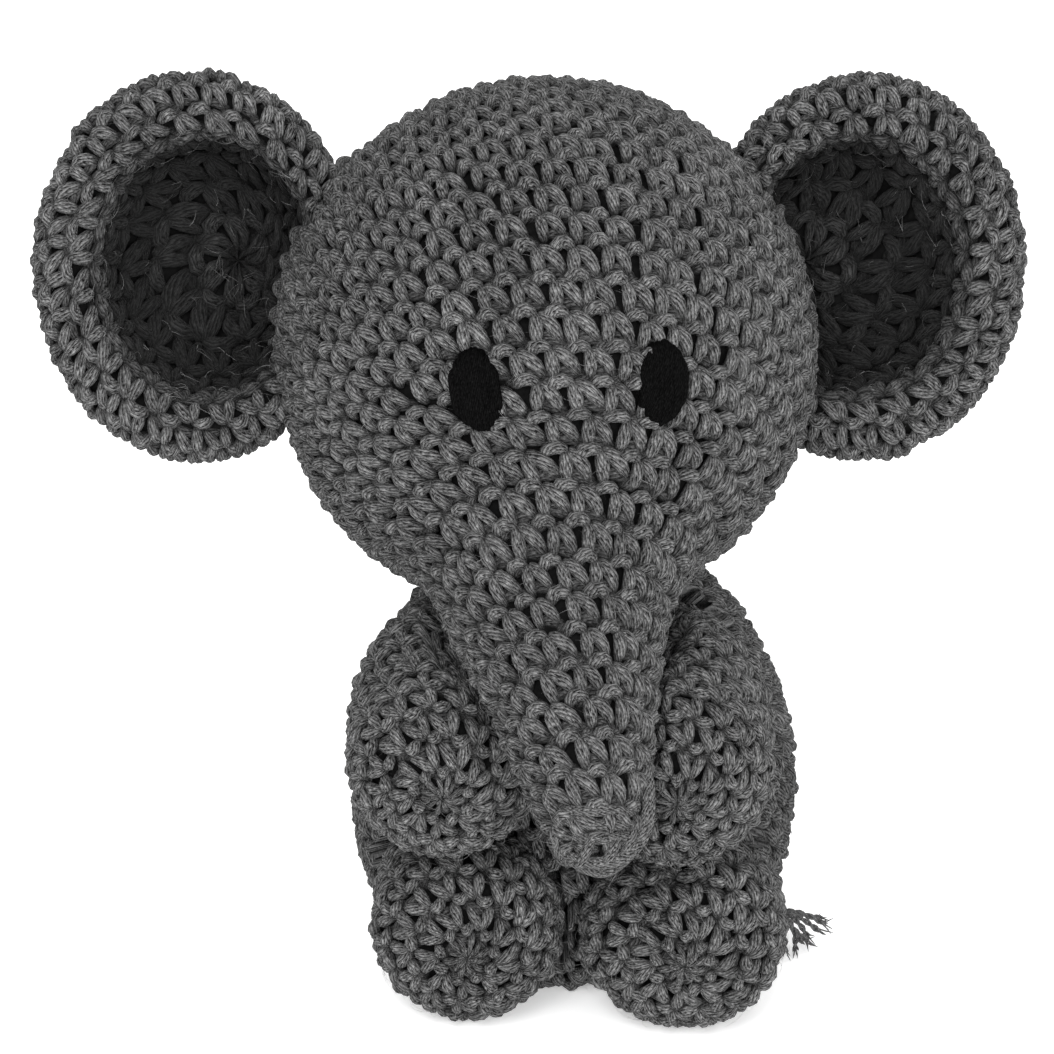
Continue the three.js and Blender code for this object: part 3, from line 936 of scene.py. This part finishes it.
def limbBalls(name, margin, turns):
    limb = limbs[name]
    size = limbSizes[limb["size"]]
    outline = np.array(limbOutline(size))
    there = limbToToy(name)
    pivot = np.array(limb["at"])
    balls = [(pivot, size["root"] + margin + size["seat"])]
    for z in np.arange(4, size["length"] + size["radius"] * size["cap"] - 3, 4.0):
        r = np.interp(z, outline[:, 1], outline[:, 0])
        at = there(np.array([[0.0, 0.0, z]]))[0]
        for turn in turns:
            spun = turnZ(limb["side"] * turn) @ (at - pivot) + pivot
            balls.append((spun, r + margin))
    return balls


# Body

contactGap = 0.4  # kept between pieces that rest on each other
neckPivot = np.array([head["centre"][0], head["centre"][1], head["nodHeight"]])
nodded = turnX(-head["nod"]) @ (head["centre"] - neckPivot) + neckPivot


def bodyMiddle(points):
    back, low, high = body["core"]
    return np.stack([points[:, 0] * 0, points[:, 1] * 0 + back, np.clip(points[:, 2], low, high)],
                    axis=1)


def pressBody(points, depth):
    balls = [(centre, head["radius"] + contactGap) for centre in (head["centre"], nodded)]
    for name, limb in limbs.items():
        splay = limbSizes[limb["size"]]["splay"]
        balls += limbBalls(name, contactGap, (0, splay / 2, splay))
    return pushedOut(points, depth, balls, bodyMiddle)


def bodyToToy(points):
    far, start, end = body["bulge"]
    swollen = points[:, 0] + far * smooth(points[:, 0], start, end)
    return np.stack([swollen, points[:, 1], points[:, 2]], axis=1)


bodySkin = Skin(bodyOutline(), bodyToToy)
bodyPile = crochet("body", bodySkin, press=pressBody)
bodyPiece = bodyPile.make("body_knit", [greyYarn, shadowYarn])
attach(bodyPiece, "body")
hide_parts("body_skin", "body_stuffing")


# Head and trunk in one piece

headSkin = Skin(headOutline(), muzzleToToy)
headPile = crochet("head", headSkin)
headPiece = headPile.make("head_knit", [greyYarn, shadowYarn])
bendFrom = muzzleToToy(np.array([[0.0, 0.0, trunk["root"] - 9]]))[0] * mm
bendTo = muzzleToToy(np.array([[0.0, 0.0, trunk["root"] + 9]]))[0] * mm
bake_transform(headPiece)
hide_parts("head_skin", "trunk_skin", "head_stuffing", "trunk_stuffing")


# Arms and legs

def pressLimb(name):
    limb = limbs[name]
    there = limbToToy(name)
    size = limbSizes[limb["size"]]
    pivot = np.array(limb["at"])
    balls = []
    for centre, radius in muzzleBalls(contactGap):
        for turn in (0, size["splay"] / 2, size["splay"]):
            balls.append((turnZ(-limb["side"] * turn) @ (centre - pivot) + pivot, radius))
    ends = there(np.array([[0.0, 0.0, 0.0], [0.0, 0.0, size["length"]]]))

    def middle(points):
        run = ends[1] - ends[0]
        share = np.clip(((points - ends[0]) @ run) / (run @ run), 0, 1)[:, None]
        return ends[0] + share * run

    return lambda points, depth: pushedOut(points, depth, balls, middle)


for name, limb in limbs.items():
    outline = limbOutline(limbSizes[limb["size"]])
    skin = Skin(outline, limbToToy(name), fromFarEnd=True, oval=(limb["wide"], 1.0))
    press = pressLimb(name) if limb["size"] == "arm" else None
    pile = crochet(name, skin, press=press, paintedShading=lambda share: paintedLimbLight)
    piece = pile.make(name + "_knit", [greyYarn, shadowYarn])
    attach(piece, name)
    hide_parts(name, name.replace("_", "_stuffing_"))


# Ears

ear = {
    "width": 55.0, "height": 65.5, "depth": 22.0, "wall": 10.0,
    "out": {"left": 12.6, "right": 7.4}, "back": 1.0, "up": 14.0, "tilt": 15.0, "toe": 8.0,
    "hollow": 15.5, "bury": 2.5, "stitch": 0.9,
    "open": (2.5, 0.58, 0.74),  # towards the head, between two shares of the outline
    "sink": (7.0, 0.7, 1.0),
    "bright": 1.03,  # shade of the outer side
    # painted shade under the rim, then painted light deeper in the hollow
    "darken": (0.95, 0.56, 0.76),
    "lighten": (0.16, 0.8, 1.0),
}


def eased(setting, share):
    size, start, end = setting
    return size * smooth(share, start, end)


def paintedEarShade(share):  # painted shade: the hollow is darkest under its rim, lighter again towards its middle
    return ear["bright"] - eased(ear["darken"], share) + eased(ear["lighten"], share)


def earOutline():
    half = ear["width"] / 2
    outer = [(r * half, z) for r, z in arc(0, 1, ear["depth"], -90, 0, 24)]
    rim = [
        (half + (r - ear["wall"] / 2), z)
        for r, z in arc(0, ear["wall"] / 2, ear["wall"] / 2, 15, 165, 14)
    ]
    inner = [
        (r * half, z)
        for r, z in arc(0, 1 - 2 * ear["wall"] / ear["width"], ear["hollow"], 0, -90, 24)
    ]
    return outer + rim + inner


def earToToy(side, name):
    turn = turnZ(-side * ear["toe"]) @ turnX(90 - ear["tilt"])
    at = np.array([side * (head["radius"] + ear["out"][name]), ear["back"], ear["up"]])
    return lambda points: headToToy(points @ turn.T + at)


def earSlide(side):  # the hollow opens towards the head
    return lambda share: -side * (eased(ear["open"], share) + eased(ear["sink"], share))


def offHead(points):  # stitches inside the head are left out
    return np.linalg.norm(points - head["centre"], axis=1) > head["radius"] - ear["bury"]


for side, name in ((-1, "left"), (1, "right")):
    oval = (1.0, ear["height"] / ear["width"])
    skin = Skin(earOutline(), earToToy(side, name), oval=oval, slide=earSlide(side))
    pile = crochet("ear_" + name, skin, keep=offHead, size=ear["stitch"], paintedShading=paintedEarShade)
    piece = pile.make(f"ear_{name}_knit", [greyYarn, shadowYarn])
    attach(piece, "ear_" + name)
    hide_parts("ear_" + name)


# Eyes: black satin stitch

eye = {
    "width": 8.2,
    "height": 12.8,
    "strands": 9,
    "thick": 0.78,
    "side": {"left": 19.4, "right": 19.9},  # degrees from the face's middle, and up
    "rise": {"left": 8.9, "right": 10.4},
    "lean": {"left": 14.0, "right": -5.0},
}


def makeEye(side, name):
    turn = turnZ(side * eye["side"][name]) @ turnX(-eye["rise"][name]) @ turnY(-eye["lean"][name])
    pile = Pile()

    def onHead(x, z, lift):
        reach = math.sqrt(head["radius"] ** 2 - x * x - z * z) + lift
        return headToToy((turn @ np.array([x, -reach, z]))[None])[0]

    for n in range(eye["strands"]):
        share = (n + 0.5) / eye["strands"] * 2 - 1
        x = share * (eye["width"] / 2 - 0.3)
        half = eye["height"] / 2 * math.sqrt(1 - (share * 0.9) ** 2) + rng.normal(0, 0.2)
        lift = 0.75 - 0.5 * abs(share) + rng.normal(0, 0.12)
        run = [
            onHead(x * 0.9, half, -0.9),
            onHead(x * 0.97, half * 0.86, lift - 0.35),
            onHead(x, half * 0.4, lift),
            onHead(x, -half * 0.4, lift),
            onHead(x * 0.97, -half * 0.86, lift - 0.35),
            onHead(x * 0.9, -half, -0.9),
        ]
        addStrand(pile, run, eye["thick"], 8, 0.4)
    for n in range(5):  # a lower layer closes the gaps
        x = (n / 4 * 2 - 1) * eye["width"] * 0.36
        half = eye["height"] / 2 * math.sqrt(1 - (x / (eye["width"] * 0.52)) ** 2)
        run = [onHead(x, half, -1.4), onHead(x, 0, -0.2), onHead(x, -half, -1.4)]
        addStrand(pile, run, 1.1, 8, 0.3)
    piece = pile.make(f"eye_{name}_stitches", [blackYarn])
    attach(piece, "head")
    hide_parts("eye_" + name)


for side, name in ((-1, "left"), (1, "right")):
    makeEye(side, name)


# The sewn trunk tip: closing stitches over the flat end, and a loop round it

tipStrands = [  # points on the trunk's axes, and radius
    ([(-5.6, 4.4, 87.6), (-2.0, 7.0, 89.2), (2.4, 7.0, 89.6), (5.6, 4.6, 89.6)], 1.0),
    ([(-5.4, 4.2, 89.6), (-1.6, 6.2, 91.2), (2.6, 6.0, 91.6), (5.6, 4.0, 91.2)], 1.0),
    ([(-4.6, 3.4, 91.8), (-1.0, 4.8, 93.2), (2.8, 4.6, 93.4), (5.4, 3.2, 92.6)], 1.0),
    ([(8.8, 2.2, 78.0), (9.0, 3.4, 82.5), (8.6, 3.8, 87.0), (7.6, 3.4, 91.4), (5.4, 2.6, 94.6),
      (2.0, 2.4, 96.4), (-2.0, 2.2, 96.4), (-5.2, 1.6, 94.4)], 1.15),
    ([(3.0, 4.8, 92.4), (2.0, 4.6, 94.6), (0.4, 2.8, 96.6), (-0.6, 0.2, 97.0)], 0.9),
    ([(-1.2, 5.0, 92.6), (-2.4, 4.4, 94.6), (-3.4, 2.4, 96.0), (-3.8, 0.0, 96.0)], 0.9),
    ([(5.6, 4.0, 90.8), (5.0, 4.2, 93.0), (3.6, 2.8, 95.4), (2.8, 0.2, 96.6)], 0.9),
    ([(-6.2, 2.6, 90.0), (-6.6, 0.4, 92.6), (-5.8, -2.0, 93.6)], 0.9),
    ([(-5.0, -1.4, 94.4), (0.0, -1.8, 96.8), (5.0, -1.2, 94.8)], 1.0),
]


def makeTip():
    pile = Pile()
    for points, radius in tipStrands:
        curve = smoothPath(points)[0]
        addStrand(pile, muzzleToToy(curve), radius, 8, 0.45, ready=True)
    piece = pile.make("trunk_tip_stitches", [greyYarn])
    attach(piece, "trunk")
    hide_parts("trunk_tip_seam")


makeTip()


# Sewing yarn at the ears and the limbs: short stitches over each join; a short sleeve of the fabric
# at the neck

seam = {
    "thick": 0.85,
    "gap": 4.6,
    "reach": 2.4,
    "slant": 0.5,
    "dip": 1.2,
    "arch": 0.5,
    "ahead": 3.0,  # from a limb's root along the limb
    "clear": {"limb": 0.4, "ear": 0.3},
    "earFrom": -30,  # degrees up from level, at the side of the head
    "earTo": 44,
}


def whipStitches(name, node, bodyName, line, inward):
    # line is the join as points, inward the direction into the toy at each of them
    pile = Pile()
    gaps = np.linalg.norm(np.diff(line, axis=0), axis=1)
    at = np.concatenate([[0], np.cumsum(gaps)])
    count = max(2, int(at[-1] / seam["gap"]))
    for n in range(count):
        place = (n + 0.5) / count * at[-1]
        here = np.array([np.interp(place, at, line[:, k]) for k in range(3)])
        deep = np.array([np.interp(place, at, inward[:, k]) for k in range(3)])
        ahead = np.array([np.interp(min(place + 1, at[-1]), at, line[:, k]) for k in range(3)])
        before = np.array([np.interp(max(place - 1, 0), at, line[:, k]) for k in range(3)])
        run = (ahead - before) / np.linalg.norm(ahead - before)
        deep = deep / np.linalg.norm(deep)
        across = np.cross(run, deep)
        half = across * seam["reach"] + run * seam["slant"] * seam["reach"]
        path = [here - half + deep * seam["dip"], here - deep * seam["arch"],
                here + half + deep * seam["dip"]]
        addStrand(pile, path, seam["thick"], 8, 0.4)
    piece = pile.make(name, [greyYarn])
    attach(piece, bodyName)
    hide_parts(node)


def ringLine(centre, radius, axisTurn):
    turn = np.radians(np.linspace(0, 360, 60))
    flat = np.stack([np.cos(turn), np.sin(turn), turn * 0], axis=1)
    return flat * radius @ axisTurn.T + centre, -flat @ axisTurn.T


neck = {
    "outline": [(0, 59), (17.6, 59.4), (18.4, 63), (18.4, 67), (18.8, 72), (0, 73)],
    "bend": (0.0635, 0.0685),
    "fuzz": 0.3,
}


def neckToToy(points):
    return points + np.array([head["centre"][0], head["centre"][1], 0])


def makeNeck():  # a short sleeve of the same fabric
    pile = crochet("neck", Skin(neck["outline"], neckToToy), fuzz=neck["fuzz"])
    piece = pile.make("neck_knit", [greyYarn, shadowYarn])
    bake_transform(piece)
    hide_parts("neck_seam")


makeNeck()
for name, limb in limbs.items():
    size = limbSizes[limb["size"]]
    turn = turnX(90 + size["fall"])
    radius = size["root"] + seam["clear"]["limb"]
    line, inward = ringLine(np.array(limb["at"]), radius, turn)
    line = line + turn @ np.array([0, 0, seam["ahead"]])
    whipStitches(name + "_stitches", name.replace("_", "_seam_"), name, line, inward)
for side, name in ((-1, "left"), (1, "right")):
    turn = np.radians(np.linspace(seam["earFrom"], seam["earTo"], 40))
    flat = np.stack([side * np.cos(turn), turn * 0 + 0.2, np.sin(turn)], axis=1)
    flat /= np.linalg.norm(flat, axis=1, keepdims=True)
    line = headToToy(flat * (head["radius"] + seam["clear"]["ear"]))
    inward = -(flat @ head["turn"].T)
    whipStitches(f"ear_{name}_stitches", "ear_seam_" + name, "head", line, inward)


# Floor and end

def addFloor():
    bpy.ops.object.select_all(action="DESELECT")
    bpy.ops.mesh.primitive_plane_add(size=studio["floorSize"])
    floor = bpy.context.object
    floor.name = "floor"
    material = bpy.data.materials.new("floor")
    material.use_nodes = True
    shader = material.node_tree.nodes["Principled BSDF"]
    shader.inputs["Base Color"].default_value = (0.9, 0.9, 0.9, 1)
    shader.inputs["Roughness"].default_value = 0.8
    shader.inputs["Emission Color"].default_value = (1, 1, 1, 1)
    shader.inputs["Emission Strength"].default_value = studio["floorGlow"]
    floor.data.materials.append(material)


addFloor()
addStudio()
